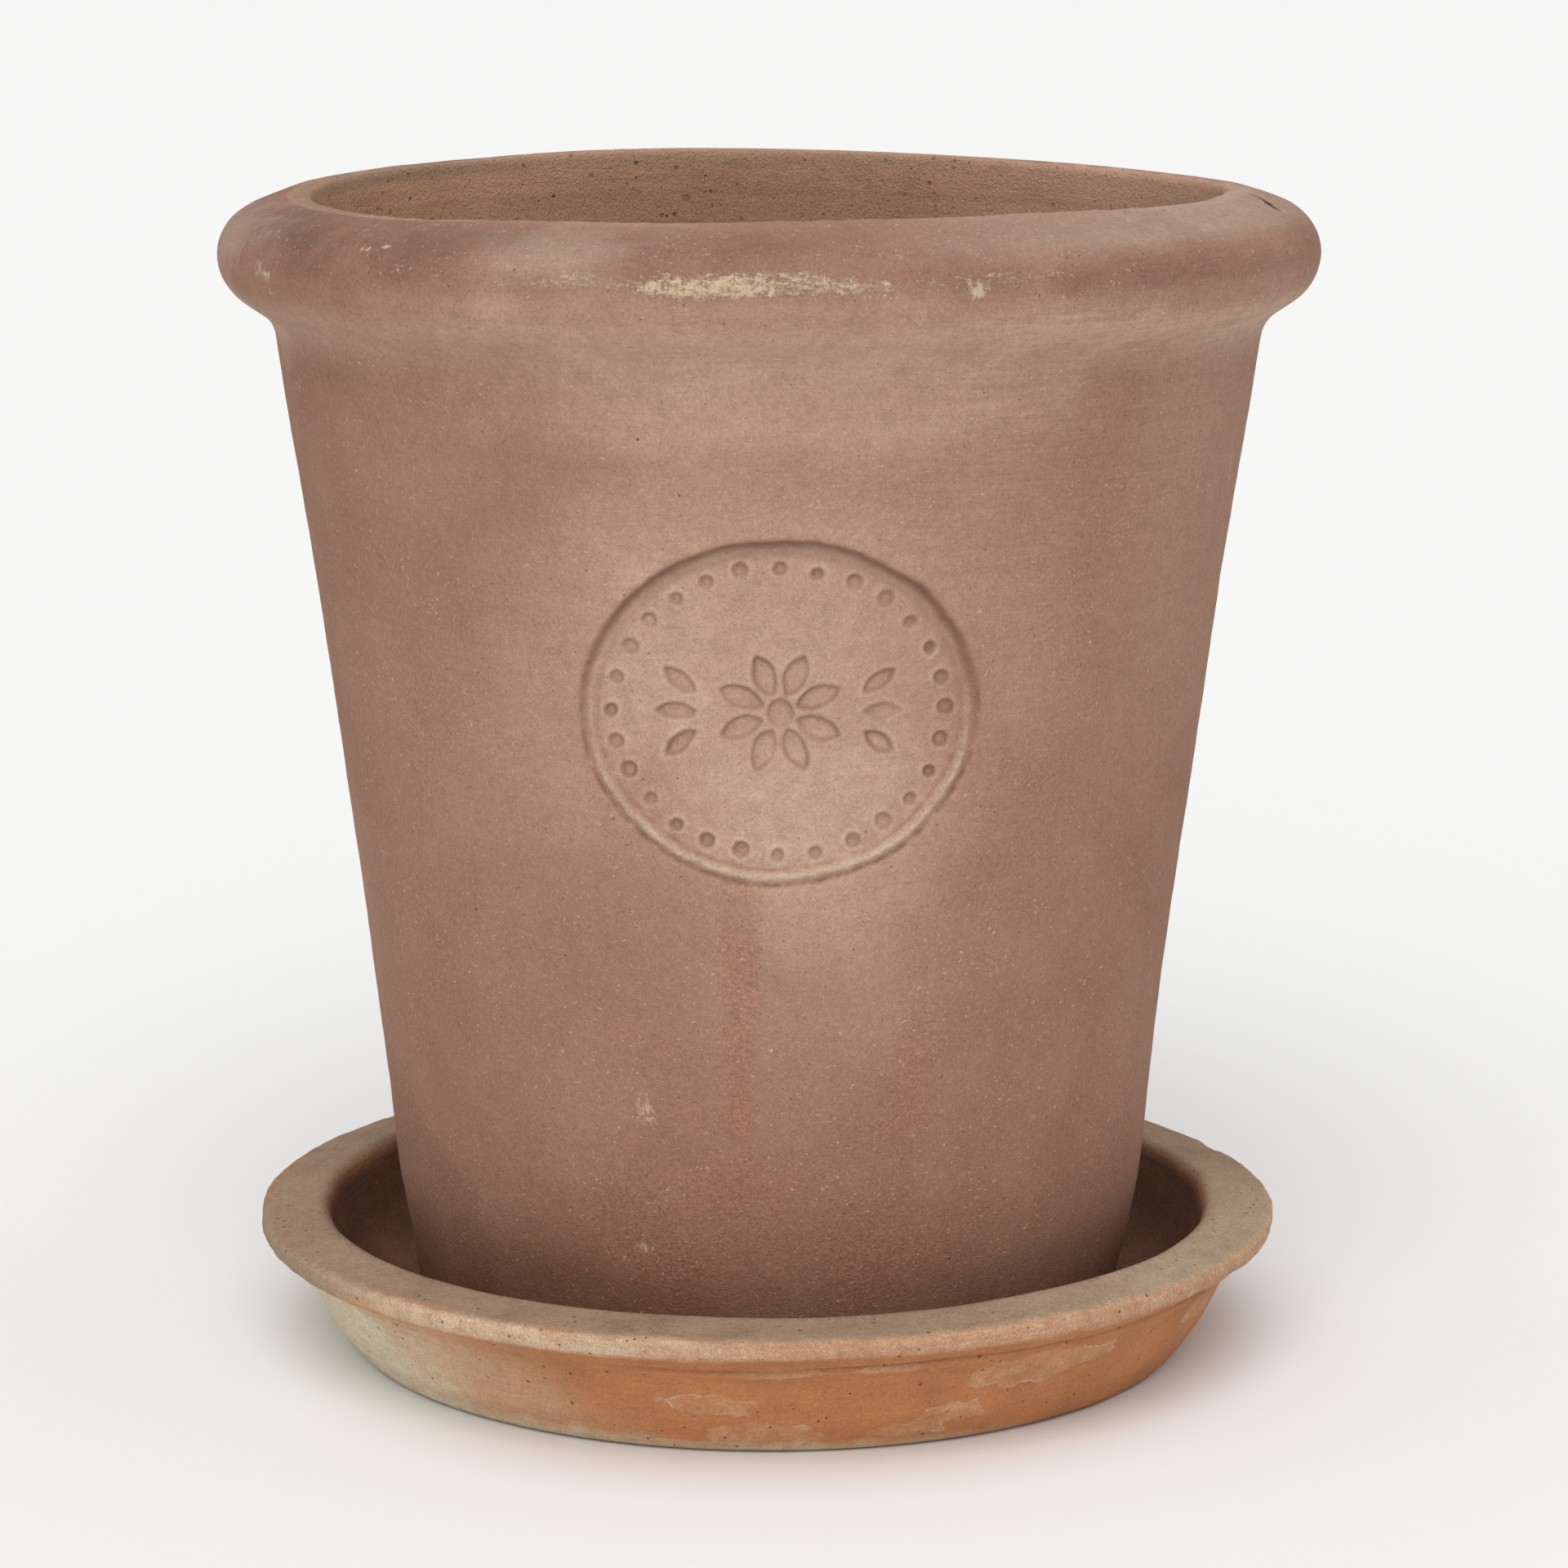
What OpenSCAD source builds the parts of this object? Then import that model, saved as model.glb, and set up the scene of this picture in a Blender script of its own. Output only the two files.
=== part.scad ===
// Terracotta garden pot with a rolled rim, standing in its own drip saucer.
// Two fired clay pieces. The origin is the centre of the saucer's underside, +Z is up,
// and the oval seal pressed into the pot faces -Y.

/* [Pot] */
// Diameter over the rolled rim
rim_d = 240; // [238:1:250]
// Height of the pot from its foot to the top of the rim
pot_h = 248.4; // [240:0.1:260]
// Diameter of the mouth inside the rim
mouth_d = 199.6; // [196:0.1:201]
// Outside diameter just under the rim
neck_d = 215.6; // [212:0.2:217]
// Outside diameter of the foot
foot_d = 155.6; // [150:0.1:158]
// Outside diameter at the knee, where the quicker taper of the foot ends
knee_d = 166.8; // [164:0.1:170]
// Height of the knee above the foot
knee_h = 29; // [24:1:36]
// How far the wall curves in, halfway between the knee and the neck
wall_bow = 1.4; // [0.5:0.1:2]
// Wall thickness
wall_t = 9; // [8:0.5:10]
// Floor thickness
floor_t = 12; // [10:0.5:14]
// Diameter of the drain hole in the middle of the floor
drain_d = 22; // [16:1:28]

/* [Rim] */
// Radius of the roll's section
roll_r = 11; // [10.5:0.1:11.5]
// Height of the roll's middle below the top of the rim
roll_drop = 14; // [13.6:0.1:14.2]
// Slope of the roll's underside, degrees from the horizontal
roll_slope = 34; // [31:1:40]
// Slope of the rim's crown, degrees from the horizontal
crown_slope = 20; // [19:1:22]
// Radius of the cove between the wall and the roll
cove_r = 9; // [6:0.5:10]
// Height of the rough torn band inside the mouth
band_h = 8; // [6:0.5:12]
// How far the torn band stands back from the wall below it
band_step = 0.6; // [0.2:0.1:1]

/* [Seal] */
// Width of the oval seal
seal_w = 81.4; // [70:0.2:90]
// Height of the oval seal
seal_h = 73; // [60:0.5:80]
// Height of the seal's middle above the pot's foot
seal_up = 148.4; // [130:0.2:160]
// Sideways place of the seal's middle
seal_x = 2.3; // [-5:0.1:5]
// Depth that the seal is pressed into the wall
seal_depth = 1; // [0.6:0.1:1.4]
// Width of the line round the seal
seal_line = 2.6; // [2:0.1:4]
// Number of beads inside the line
bead_count = 28; // [16:2:32]
// Number of petals on the rosette
petal_count = 8; // [6:1:10]

/* [Saucer] */
// Diameter over the saucer's lip
lip_d = 228.4; // [226:0.2:234]
// Height of the saucer
saucer_h = 31.8; // [30:0.1:34]
// Diameter of the saucer's foot
base_d = 186; // [182:1:188]
// Thickness of the saucer's floor
base_t = 9.6; // [8:0.1:11]
// Width of the flat top of the rim
flange_w = 15; // [13:0.5:16]
// Thickness of the lip's nose
lip_t = 4.6; // [4:0.1:5.5]

/* [Hidden] */

// Largest gap between a round stretch and the chords that stand for it
chord_gap = 0.03;
// Largest share of an edge that one rounded corner may use up
edge_share = 0.9;
// Points closer than this are one point
same_point = 0.001;
// Sides of a full turn, for the revolved shapes
turn_sides = 180;

rim_r = rim_d / 2;
mouth_r = mouth_d / 2;
neck_r = neck_d / 2;
knee_r = knee_d / 2;
foot_r = foot_d / 2;
foot_round = 3;
knee_round = 90;
lip_round = 1.6;
crown_round = 7;
crown_drop = 0.5;
inner_floor_round = 12;

// Corners of the roll: its underside and its crown both meet the upright tangent at rim_r
roll_z = pot_h - roll_drop;
under_z = roll_z - roll_r * tan((90 - roll_slope) / 2);
over_z = roll_z + roll_r * tan((90 - crown_slope) / 2);
crown_r = rim_r - (pot_h - crown_drop - over_z) / tan(crown_slope);
neck_z = under_z - (rim_r - neck_r) * tan(roll_slope);

// The wall's middle corner lies at twice the bow, so its long arc passes at the bow
bow_round = 3000;
bow_r = (knee_r + neck_r) / 2 - 2 * wall_bow;
bow_z = (knee_h + neck_z) / 2;

seal_sides = 72;
seal_reach = 60;
bead_r = 1.3;
bead_inset = 6.2;
petal_l = 9;
petal_w = 4.2;
petal_start = 4;
hub_r = 2.6;
leaf_l = 7.6;
leaf_w = 3;

lip_r = lip_d / 2;
base_r = base_d / 2;
lip_bottom_z = saucer_h - 1.2 - lip_t;

// Unit vector from point a to point b
function heading(a, b) = (b - a) / norm(b - a);

// Points that round the corner b, between its neighbours a and c, with radius r.
// The radius shrinks where the two edges are too short for it.
function round_corner(a, b, c, r) =
    let (
        to_a = heading(b, a),
        to_c = heading(b, c),
        half = acos(max(-1, min(1, to_a * to_c))) / 2,
        room = edge_share * min(norm(a - b), norm(c - b)),
        used = min(r / tan(half), room),
        radius = used * tan(half),
        middle = b + heading([0, 0], to_a + to_c) * radius / sin(half),
        start = b + to_a * used - middle,
        side = b + to_c * used - middle,
        sweep = 180 - 2 * half,
        hand = sign(start[0] * side[1] - start[1] * side[0]),
        step = 2 * acos(1 - min(chord_gap, radius / 4) / radius),
        count = max(2, ceil(sweep / step))
    )
    [for (i = [0:count])
        let (turn = hand * sweep * i / count)
        middle + [
            start[0] * cos(turn) - start[1] * sin(turn),
            start[0] * sin(turn) + start[1] * cos(turn)
        ]];

// The points without those that repeat the one before, as where two arcs meet
function distinct(points) =
    [for (i = [0:len(points) - 1])
        if (i == 0 || norm(points[i] - points[i - 1]) > same_point)
            points[i]];

// An outline from corners [x, y, radius]; a corner of radius 0 stays sharp
function outline(corners) =
    let (count = len(corners))
    distinct([for (i = [0:count - 1])
        let (
            a = corners[(i + count - 1) % count],
            b = corners[i],
            c = corners[(i + 1) % count]
        )
        each b[2] == 0
            ? [[b[0], b[1]]]
            : round_corner([a[0], a[1]], [b[0], b[1]], [c[0], c[1]], b[2])]);

// Half section of the pot, from the middle of its underside round to the middle of its floor
POT_SECTION = outline([
    [0, 0, 0],
    [foot_r, 0, foot_round],
    [knee_r, knee_h, knee_round],
    [bow_r, bow_z, bow_round],
    [neck_r, neck_z, cove_r],
    [rim_r, under_z, roll_r],
    [rim_r, over_z, roll_r],
    [crown_r, pot_h - crown_drop, crown_round],
    [mouth_r, pot_h, lip_round],
    [mouth_r, pot_h - band_h, 0.8],
    [mouth_r - band_step, pot_h - band_h - 1, 0.8],
    [neck_r - wall_t, neck_z - 4, 60],
    [bow_r - wall_t, bow_z, bow_round],
    [foot_r - wall_t + 1.5, floor_t, inner_floor_round],
    [0, floor_t, 0]
]);

// The wall's outer face moved in by the seal's depth, closed to the middle
SEAL_FLOOR = outline([
    [0, knee_h, 0],
    [knee_r - seal_depth, knee_h, 0],
    [bow_r - seal_depth, bow_z, bow_round],
    [neck_r - seal_depth, neck_z, 0],
    [0, neck_z, 0]
]);

// Half section of the saucer: bowl, cove under the lip, rounded lip, flat top and floor
SAUCER_SECTION = outline([
    [0, 0, 0],
    [base_r, 0, 5],
    [base_r + 5.8, 7.4, 10],
    [lip_r - 9, lip_bottom_z - 6.4, 12],
    [lip_r - 3.4, lip_bottom_z - 0.8, 3],
    [lip_r, lip_bottom_z, 2],
    [lip_r, lip_bottom_z + lip_t, 1.9],
    [lip_r - flange_w, saucer_h, 3.4],
    [lip_r - flange_w - 2, saucer_h - 6, 14],
    [base_r - 2.5, base_t, 16],
    [0, base_t, 0]
]);

// A flat oval
module oval(width, height) {
    polygon([for (i = [0:seal_sides - 1])
        let (turn = 360 * i / seal_sides)
        [width / 2 * cos(turn), height / 2 * sin(turn)]]);
}

// A flat leaf with two pointed ends, from the origin along +X
module leaf(length, width) {
    arc_r = (length * length / width + width) / 4;
    translate([length / 2, 0])
        intersection() {
            translate([0, arc_r - width / 2])
                circle(r = arc_r, $fn = 96);
            translate([0, width / 2 - arc_r])
                circle(r = arc_r, $fn = 96);
        }
}

// The seal's drawing: a line round the edge, a ring of beads, a rosette and two sprays
module seal_drawing() {
    difference() {
        oval(seal_w, seal_h);
        oval(seal_w - 2 * seal_line, seal_h - 2 * seal_line);
    }
    for (i = [0:bead_count - 1]) {
        turn = 360 * i / bead_count;
        translate([(seal_w / 2 - bead_inset) * cos(turn), (seal_h / 2 - bead_inset) * sin(turn)])
            circle(r = bead_r, $fn = 24);
    }
    circle(r = hub_r, $fn = 32);
    for (i = [0:petal_count - 1])
        rotate(360 * (i + 0.5) / petal_count)
            translate([petal_start, 0])
                leaf(petal_l, petal_w);
    for (side = [0, 1])
        mirror([side, 0])
            for (angle = [-38, 0, 38])
                translate([17.5, angle / 9])
                    rotate(angle)
                        leaf(leaf_l, leaf_w);
}

// What the seal presses out of the wall
module seal_cut() {
    difference() {
        translate([seal_x, -seal_reach, seal_up])
            rotate([90, 0, 0])
                linear_extrude(seal_reach)
                    seal_drawing();
        rotate_extrude($fn = turn_sides)
            polygon(SEAL_FLOOR);
    }
}

module drain_hole() {
    translate([0, 0, -1])
        cylinder(d = drain_d, h = floor_t + 2, $fn = 96);
}

module pot() {
    color([0.62, 0.45, 0.38])
        translate([0, 0, base_t])
            difference() {
                rotate_extrude($fn = turn_sides)
                    polygon(POT_SECTION);
                drain_hole();
                seal_cut();
            }
}

module saucer() {
    color([0.76, 0.52, 0.36])
        rotate_extrude($fn = turn_sides)
            polygon(SAUCER_SECTION);
}

saucer();
pot();
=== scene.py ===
import math

import bpy
import numpy as np
from mathutils import Matrix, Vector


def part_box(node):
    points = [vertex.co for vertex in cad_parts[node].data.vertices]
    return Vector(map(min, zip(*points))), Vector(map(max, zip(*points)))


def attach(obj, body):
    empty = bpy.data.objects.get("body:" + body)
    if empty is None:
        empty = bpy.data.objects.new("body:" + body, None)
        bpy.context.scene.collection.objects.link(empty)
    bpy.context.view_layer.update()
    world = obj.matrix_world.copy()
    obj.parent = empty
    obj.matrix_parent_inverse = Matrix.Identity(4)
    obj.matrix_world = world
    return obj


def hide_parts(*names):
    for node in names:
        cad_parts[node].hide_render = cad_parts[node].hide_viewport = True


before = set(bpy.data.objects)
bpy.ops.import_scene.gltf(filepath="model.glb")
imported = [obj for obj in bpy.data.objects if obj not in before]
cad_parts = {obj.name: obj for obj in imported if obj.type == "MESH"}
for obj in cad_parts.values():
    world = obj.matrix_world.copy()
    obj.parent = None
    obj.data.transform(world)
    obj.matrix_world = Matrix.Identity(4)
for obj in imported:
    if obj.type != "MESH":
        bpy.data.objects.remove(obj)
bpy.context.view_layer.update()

# Geometry is worked out in millimetres, as in the CAD source, and turned into metres when a mesh is made.
# Round the axis, an angle of 0 is the front (-Y) and a positive angle is towards +X.
MM = 0.001


# ---------------------------------------------------------------- sizes from the frame

def box_mm(node):
    low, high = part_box(node)
    return [c / MM for c in low], [c / MM for c in high]


pot_low, pot_high = box_mm("pot")
dish_low, dish_high = box_mm("saucer")

POT_Z = pot_low[2]                              # height of the pot's foot
LIP_LOSS = 0.2                                  # what a rounded edge takes off the corner's height
POT_H = pot_high[2] - pot_low[2] + LIP_LOSS
RIM_R = (pot_high[0] - pot_low[0]) / 2
DISH_R = (dish_high[0] - dish_low[0]) / 2
DISH_H = dish_high[2] + LIP_LOSS

MOUTH_R = 99.8
NECK_R = 107.8
FOOT_R = 77.8
KNEE_R, KNEE_H = 83.4, 29
WALL_BOW = 1.4
WALL_T, FLOOR_T = 9, 12
DRAIN_R = 11
ROLL_R, ROLL_DROP = 11, 14
ROLL_SLOPE, CROWN_SLOPE = math.radians(34), math.radians(20)
CROWN_DROP = 0.5
BAND_H, BAND_STEP = 8, 0.6

SEAL_A, SEAL_B = 40.7, 36.5                     # half width and half height of the oval seal
SEAL_X, SEAL_Z = 2.3, POT_Z + 148.4
BASE_R, BASE_T = 93, POT_Z
FLANGE_W, LIP_T = 15, 4.6

BOW_ROUND = 3000                                # radius of the wall's slight inward bow
ARC_POINTS = 24                                 # points along each rounded corner of an outline
TRACK_STEP = 0.2                                # distance between points of a track


# ---------------------------------------------------------------- noise for the shapes

def hashed(ix, iy, iz, seed):
    """A repeatable number from -1 to 1 for each lattice point."""
    n = (ix * 73856093) ^ (iy * 19349663) ^ (iz * 83492791) ^ (seed * 50331653)
    n &= 0xFFFFFFFF
    n = ((n ^ (n >> 15)) * 0x2C1B3C6D) & 0xFFFFFFFF
    n = ((n ^ (n >> 12)) * 0x297A2D39) & 0xFFFFFFFF
    n ^= n >> 15
    return (n & 0xFFFF) / 32767.5 - 1


# Turns the noise's lattice a little, so that its cells don't line up with the clay's own directions
TURNED = np.array(Matrix.Rotation(0.6, 3, "Z") @ Matrix.Rotation(0.35, 3, "X"))


def noise(p, size, seed):
    """Smooth noise from -1 to 1 at points p (n, 3); size is the feature size, one number or three."""
    q = p / np.asarray(size, float) @ TURNED
    cell = np.floor(q).astype(np.int64)
    f = q - cell
    f = f * f * (3 - 2 * f)
    total = 0
    for dx in (0, 1):
        for dy in (0, 1):
            for dz in (0, 1):
                w = np.abs(1 - dx - f[:, 0]) * np.abs(1 - dy - f[:, 1]) * np.abs(1 - dz - f[:, 2])
                total = total + w * hashed(cell[:, 0] + dx, cell[:, 1] + dy, cell[:, 2] + dz, seed)
    return total


def layered(p, size, seed, layers=3):
    """Noise with finer layers, each half the size and half the strength of the one before."""
    size = np.asarray(size, float)
    return sum(noise(p, size / 2 ** k, seed + k) / 2 ** k for k in range(layers))


def step(x, low, high):
    """0 below low, 1 above high, smooth between; low may be the larger."""
    t = np.clip((x - low) / (high - low), 0, 1)
    return t * t * (3 - 2 * t)


def hump(x, middle, width):
    return np.exp(-((x - middle) / width) ** 2)


# ---------------------------------------------------------------- revolved skins

def outline(corners):
    """Points along the outline through corners [r, z, radius], with each corner rounded to its radius."""
    points = []
    for k, (x, y, radius) in enumerate(corners):
        b = np.array([x, y])
        if radius == 0:
            points.append(b)
            continue
        a = np.array(corners[k - 1][:2])
        c = np.array(corners[(k + 1) % len(corners)][:2])
        to_a = (a - b) / np.linalg.norm(a - b)
        to_c = (c - b) / np.linalg.norm(c - b)
        half = math.acos(np.clip(to_a @ to_c, -1, 1)) / 2
        bisector = (to_a + to_c) / np.linalg.norm(to_a + to_c)
        middle = b + bisector * radius / math.sin(half)
        start = b + to_a * radius / math.tan(half) - middle
        end = b + to_c * radius / math.tan(half) - middle
        sweep = math.pi - 2 * half
        hand = math.copysign(1, start[0] * end[1] - start[1] * end[0])
        for turn in np.linspace(0, hand * sweep, ARC_POINTS):
            cos, sin = math.cos(turn), math.sin(turn)
            points.append(middle + [start[0] * cos - start[1] * sin, start[0] * sin + start[1] * cos])
    return np.array(points)


def track(corners, closed):
    """The outline as a track of close points: arc length, r, z and the outward normal at each."""
    p = outline(corners)
    if closed:
        p = np.vstack([p, p[:1]])
    length = np.r_[0, np.cumsum(np.hypot(*np.diff(p, axis=0).T))]
    s = np.linspace(0, length[-1], int(length[-1] / TRACK_STEP))
    r, z = np.interp(s, length, p[:, 0]), np.interp(s, length, p[:, 1])
    dr, dz = np.gradient(r, s), np.gradient(z, s)
    size = np.hypot(dr, dz)
    return {"s": s, "r": r, "z": z, "nr": dz / size, "nz": -dr / size}


def revolve(name, way, closed, columns, pitch, refine, shape, parts):
    """A closed skin round the Z axis.

    closed says whether the track is a loop; one that isn't starts and ends at the axis. pitch gives
    the row spacing along the track, refine says which coarse faces are split into parts x parts, and
    shape moves the skin's points and returns their attributes too.
    """
    middle_pitch = (pitch[1:] + pitch[:-1]) / 2
    rows_at = np.r_[0, np.cumsum(np.diff(way["s"]) / middle_pitch)]
    rows = int(rows_at[-1])
    rows_at *= rows / rows_at[-1]
    k = parts
    wide, tall = columns * k, rows * k          # the skin in fine steps, round and along the track

    def place(u, v):
        t = v / k
        q = {key: np.interp(t, rows_at, way[key]) for key in way}
        q["theta"] = u / wide * 2 * math.pi - math.pi
        return q

    ci, cj = np.meshgrid(np.arange(columns), np.arange(rows))
    centre = place((ci.ravel() + 0.5) * k, (cj.ravel() + 0.5) * k)
    fine = refine(centre).reshape(rows, columns)
    if not closed:
        fine[:2] = fine[-2:] = False

    index, us, vs = {}, [], []

    def vertex(u, v):
        key = (u % wide, v % tall if closed else v)
        if key not in index:
            index[key] = len(us)
            us.append(key[0])
            vs.append(key[1])
        return index[key]

    def is_fine(i, j):
        if closed:
            j %= rows
        return 0 <= j < rows and fine[j, i % columns]

    faces = []
    for j in range(rows):
        for i in range(columns):
            u, v = i * k, j * k
            if fine[j, i]:
                for b in range(k):
                    for a in range(k):
                        faces.append([vertex(u + a, v + b), vertex(u + a + 1, v + b),
                                      vertex(u + a + 1, v + b + 1), vertex(u + a, v + b + 1)])
                continue
            ring = [vertex(u, v)]
            if is_fine(i, j - 1):
                ring += [vertex(u + a, v) for a in range(1, k)]
            ring.append(vertex(u + k, v))
            if is_fine(i + 1, j):
                ring += [vertex(u + k, v + b) for b in range(1, k)]
            ring.append(vertex(u + k, v + k))
            if is_fine(i, j + 1):
                ring += [vertex(u + k - a, v + k) for a in range(1, k)]
            ring.append(vertex(u, v + k))
            if is_fine(i - 1, j):
                ring += [vertex(u, v + k - b) for b in range(1, k)]
            faces.append(ring)
    q = place(np.array(us, float), np.array(vs, float))
    r, z, attributes = shape(q)
    co = np.stack([r * np.sin(q["theta"]), -r * np.cos(q["theta"]), z], 1) * MM
    co = co.tolist()
    if not closed:
        # A track that starts and ends at the axis closes with a fan of triangles at each end
        for v, turned in ((0, False), (tall, True)):
            at = len(co)
            co.append([0, 0, np.interp(v / k, rows_at, way["z"]) * MM])
            for i in range(columns):
                a, b = vertex(i * k, v), vertex((i + 1) * k, v)
                faces.append([at, a, b] if turned else [at, b, a])
    mesh = bpy.data.meshes.new(name)
    mesh.from_pydata(co, [], faces)
    for key, values in attributes.items():
        layer = mesh.attributes.new(key, "FLOAT", "POINT")
        filled = np.zeros(len(co), np.float32)
        filled[:len(values)] = values
        if not closed:
            filled[len(values):] = values[vertex(0, 0)], values[vertex(0, tall)]
        layer.data.foreach_set("value", filled)
    mesh.polygons.foreach_set("use_smooth", [True] * len(mesh.polygons))
    mesh.validate()
    mesh.update()
    piece = bpy.data.objects.new(name, mesh)
    bpy.context.scene.collection.objects.link(piece)
    return piece


def smoothed(pitch):
    """The row heights averaged over 41 points of the track, so that they change slowly."""
    return np.convolve(np.pad(pitch, 20, "edge"), np.ones(41) / 41, "valid")


def points_of(q):
    return np.stack([q["r"] * np.sin(q["theta"]), -q["r"] * np.cos(q["theta"]), q["z"]], 1)


# ---------------------------------------------------------------- the seal

# The seal's edge: distances in from the oval, and the relief there at the seal's top and foot
SEAL_D = [-7, -3.5, -1.0, -0.1, 0.6, 1.2, 2.1, 3.0, 4.0, 6.0]
SEAL_TOP = [0, 0.12, 0.42, 0.30, -1.50, -1.65, -1.15, -1.30, -1.20, -1.10]
SEAL_FOOT = [0, 0.05, 0.05, -0.55, -0.05, 0.60, 0.65, -0.35, -0.85, -0.80]

# The seal's motif: petals round a hub, two sprays of leaves and a ring of beads
HUB_R = 2.6
PETALS, PETAL_START, PETAL_L, PETAL_W = 8, 4, 9, 4.2
LEAF_LEANS, LEAF_START, LEAF_L, LEAF_W = (-38, 0, 38), 17.5, 7.6, 3
BEADS, BEAD_INSET, BEAD_R = 28, 6.2, 1.2


def turned_axes(x, y, turn):
    """How far (x, y) lies along and across a direction at an angle in radians."""
    return x * math.cos(turn) + y * math.sin(turn), -x * math.sin(turn) + y * math.cos(turn)


def leaf_gap(x, y, length, width):
    """Signed distance to a leaf with two pointed ends, from the origin along +X; negative inside."""
    arc = (length ** 2 / width + width) / 4
    above = np.hypot(x - length / 2, y - (arc - width / 2)) - arc
    below = np.hypot(x - length / 2, y + (arc - width / 2)) - arc
    return np.maximum(above, below)


def motif_gap(x, y):
    """Signed distance to the seal's motif; negative inside."""
    gap = np.hypot(x, y) - HUB_R
    for i in range(PETALS):
        along, across = turned_axes(x, y, 2 * math.pi * (i + 0.5) / PETALS)
        gap = np.minimum(gap, leaf_gap(along - PETAL_START, across, PETAL_L, PETAL_W))
    for lean in LEAF_LEANS:
        along, across = turned_axes(np.abs(x) - LEAF_START, y - lean / 9, math.radians(lean))
        gap = np.minimum(gap, leaf_gap(along, across, LEAF_L, LEAF_W))
    for i in range(BEADS):
        turn = 2 * math.pi * i / BEADS
        bx, by = (SEAL_A - BEAD_INSET) * math.cos(turn), (SEAL_B - BEAD_INSET) * math.sin(turn)
        uneven_x, uneven_y = math.sin(5.3 * i), math.sin(7.9 * i + 1)
        distance = np.hypot(x - bx - 0.3 * uneven_x, y - by - 0.3 * uneven_y)
        gap = np.minimum(gap, distance - BEAD_R - 0.2 * uneven_y)
    return gap


def seal_relief(p):
    """The seal's relief, its painted shade and dirt in hollows, and its painted highlight on raised edges."""
    x, y = p[:, 0] - SEAL_X, p[:, 2] - SEAL_Z
    wander = 0.35 * noise(p, 9, 11) + 0.14 * noise(p, 2.5, 12) + 0.16 * noise(p, 1.3, 19)
    rho = np.maximum(np.hypot(x / SEAL_A, y / SEAL_B), 1e-3)
    inward = np.hypot(x, y) * (1 - rho) / rho + wander
    # The edge's two profiles, blurred a little so that they have no corners
    table, spacing = np.linspace(-8, 8, 321), 0.05
    reach, width = 12, 0.28
    blur = np.exp(-(np.arange(-reach, reach + 1) * spacing / width) ** 2)
    blur /= blur.sum()
    smooth = [np.convolve(np.interp(table, SEAL_D, row), blur, "same") for row in (SEAL_TOP, SEAL_FOOT)]
    top, foot = (np.interp(inward, table[reach:-reach], row[reach:-reach]) for row in smooth)
    high = step(0.5 + 0.5 * np.clip(y / SEAL_B, -1, 1), 0.12, 0.88)
    relief = foot + (top - foot) * high
    gap = motif_gap(x + 0.4 * noise(p, 4.5, 13), y + 0.4 * noise(p, 4.5, 14))
    pressed = step(gap, 0.45, -0.55) * (0.95 + 0.35 * noise(p, 14, 15))
    field = step(inward, 2.5, 4.5)
    relief = relief + field * (0.18 * hump(gap, 0.8, 0.5) - pressed + 0.10 * layered(p, 3.5, 16, 2))
    # Painted shade, with some dirt: darker in the motif's hollows, under the seal's top edge and in thin
    # lines round its foot
    hollow = 0.85 * field * hump(gap, 0.05, 0.45) * (0.7 + 0.5 * noise(p, 6, 17))
    crumbs = np.clip(0.55 + 0.7 * layered(p, 1.8, 20, 2), 0, 1)
    hollow += high * (0.8 * hump(inward, 0.5, 0.9) + 0.35 * hump(inward, 2.2, 1.6))
    hollow += (1 - high) * crumbs * (1.25 * hump(inward, -0.2, 0.4) + 0.8 * hump(inward, 3.2, 0.4))
    # Painted highlight on the raised edges, strongest along the seal's foot
    edge = (1 - 0.7 * high) * hump(inward, 1.7, 0.75) + 0.5 * field * hump(gap, 0.9, 0.5)
    edge *= 0.65 + 0.5 * noise(p, 8, 18) + 1.0 * step(y, -12, -SEAL_B)
    return relief, np.clip(hollow, 0, 1), np.clip(edge, 0, 1)


# ---------------------------------------------------------------- pot

roll_z = POT_H - ROLL_DROP
under_z = roll_z - ROLL_R * math.tan((math.pi / 2 - ROLL_SLOPE) / 2)
over_z = roll_z + ROLL_R * math.tan((math.pi / 2 - CROWN_SLOPE) / 2)
crown_r = RIM_R - (POT_H - CROWN_DROP - over_z) / math.tan(CROWN_SLOPE)
neck_z = under_z - (RIM_R - NECK_R) * math.tan(ROLL_SLOPE)
bow_r = (KNEE_R + NECK_R) / 2 - 2 * WALL_BOW
bow_z = (KNEE_H + neck_z) / 2

# The pot's half section, from the drain hole out, up the wall, over the rim and down the inside
POT_CORNERS = [[r, z + POT_Z, radius] for r, z, radius in (
    (DRAIN_R, 0, 0.8),
    (FOOT_R, 0, 3),
    (KNEE_R, KNEE_H, 90),
    (bow_r, bow_z, BOW_ROUND),
    (NECK_R, neck_z, 9),
    (RIM_R, under_z, ROLL_R),
    (RIM_R, over_z, ROLL_R),
    (crown_r, POT_H - CROWN_DROP, 7),
    (MOUTH_R, POT_H, 1.6),
    (MOUTH_R, POT_H - BAND_H, 0.6),
    (MOUTH_R - BAND_STEP, POT_H - BAND_H - 1, 0.5),
    (NECK_R - WALL_T, neck_z - 4, 60),
    (bow_r - WALL_T, bow_z, BOW_ROUND),
    (FOOT_R - WALL_T + 1.5, FLOOR_T, 12),
    (DRAIN_R, FLOOR_T, 1.5),
)]
way_pot = track(POT_CORNERS, True)
POT_TOP = POT_Z + POT_H
NECK_Z = POT_Z + neck_z

# The crack in the crown and the chip at the back, as places on the rim: angle in degrees and radius
CRACK = [(80.5, 104.6), (78.6, 107.6), (76.6, 109.4), (74.8, 112.2)]
CHIP = (-146, 106.5)


def rim_place(angle, radius):
    a = math.radians(angle)
    return np.array([radius * math.sin(a), -radius * math.cos(a)])


CRACK_LINE = [rim_place(*place) for place in CRACK]


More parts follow.
